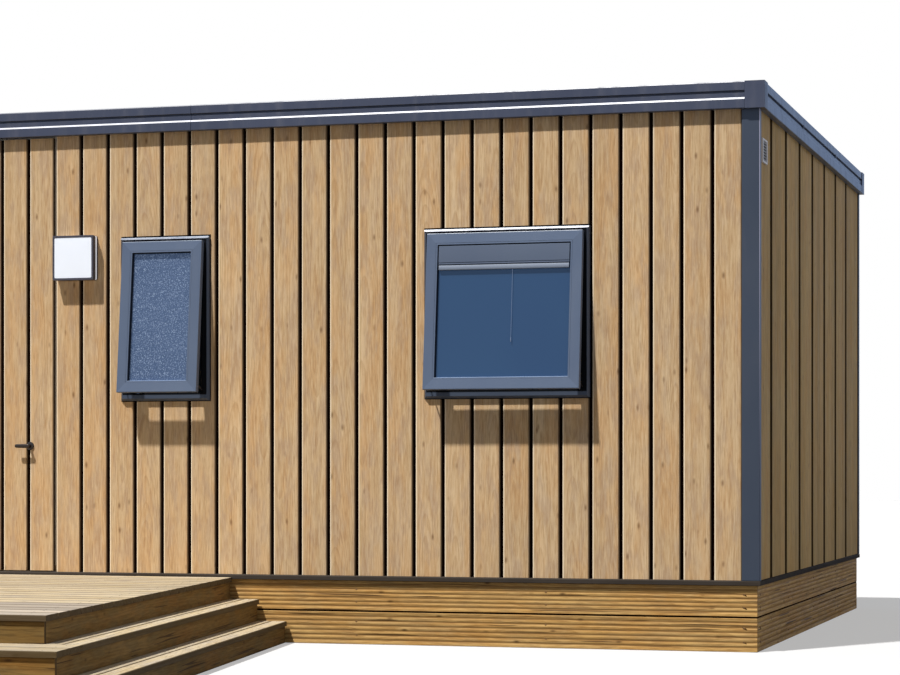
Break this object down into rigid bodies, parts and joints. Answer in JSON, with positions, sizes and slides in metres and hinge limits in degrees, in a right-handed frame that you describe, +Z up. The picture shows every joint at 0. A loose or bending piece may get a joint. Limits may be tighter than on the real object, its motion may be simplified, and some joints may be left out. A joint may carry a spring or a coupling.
{
  "type": "mobile home",
  "caption": "Timber-clad mobile home with a flat roof, top-hung windows, a boarded entrance door and a stepped timber deck.",
  "frame": {"origin": "on the ground, under the middle of the home's floor", "axes": "+X along the front to the right, +Y from the front to the back, +Z up"},
  "size_m": [9.906, 9.0934, 3.3],
  "materials": {
    "floor_board": "sealed board",
    "chassis_steel": "dull black paint",
    "pier_block": "cast concrete",
    "wall_panel": "pale painted panel",
    "oak_boards": "oiled oak, square-edged boards",
    "slate_paint": "satin slate blue-grey",
    "skirt_timber": "ribbed treated pine",
    "roof_sheet": "ribbed coated sheet",
    "window_paint": "satin slate blue-grey",
    "clear_glass": "tinted, clear",
    "obscured_glass": "tinted, obscured",
    "dark_metal": "dark bronze",
    "lamp_paint": "dark slate",
    "lamp_white": "opal",
    "vent_plastic": "off-white",
    "deck_timber": "weathered treated pine"
  },
  "bodies": {
    "house": {"floor_panel": "floor_board", "chassis": "chassis_steel", "support_piers": "pier_block", "front_wall_right": "wall_panel", "front_wall_left": "wall_panel", "front_wall_head": "wall_panel", "back_wall": "wall_panel", "left_end_wall": "wall_panel", "right_end_wall": "wall_panel", "front_cladding_right": "oak_boards", "front_cladding_left": "oak_boards", "back_cladding": "oak_boards", "end_cladding": "oak_boards", "corner_posts": "slate_paint", "sill_trim": "slate_paint", "fascia_front": "slate_paint", "fascia_back": "slate_paint", "fascia_ends": "slate_paint", "fascia_corners": "slate_paint", "skirt_boards": "skirt_timber", "skirt_posts": "skirt_timber", "roof_panel": "roof_sheet", "large_window_frames": "window_paint", "small_window_frames": "window_paint", "large_window_sashes": "window_paint", "small_window_sashes": "window_paint", "large_window_glass": "clear_glass", "small_window_glass": "obscured_glass", "blind_cassettes": "window_paint", "window_stays": "dark_metal", "door_frame": "window_paint", "wall_hinges": "dark_metal", "lamp_housing": "lamp_paint", "lamp_diffuser": "lamp_white", "end_wall_vents": "vent_plastic", "deck_boards": "deck_timber", "deck_edges": "deck_timber", "deck_joists": "deck_timber", "deck_posts": "deck_timber", "middle_step": "deck_timber", "lower_step": "deck_timber"},
    "door": {"door_core": "wall_panel", "door_cladding": "oak_boards", "door_hinges": "dark_metal", "handle_roses": "dark_metal"},
    "handle": {"lever_handle": "dark_metal"}
  },
  "joints": [
    {"name": "door_swing", "type": "hinge", "parent": "house", "child": "door", "pos_m": [-0.455, -2.241, 1.7785], "axis": [0, 0, -1], "range_deg": [0, 100]},
    {"name": "handle_turn", "type": "hinge", "parent": "door", "child": "handle", "pos_m": [0.285, -2.235, 1.204], "axis": [0, -1, 0], "range_deg": [0, 40], "stiffness_Nm_per_rad": 1.5, "springref_deg": -20.05}
  ]
}
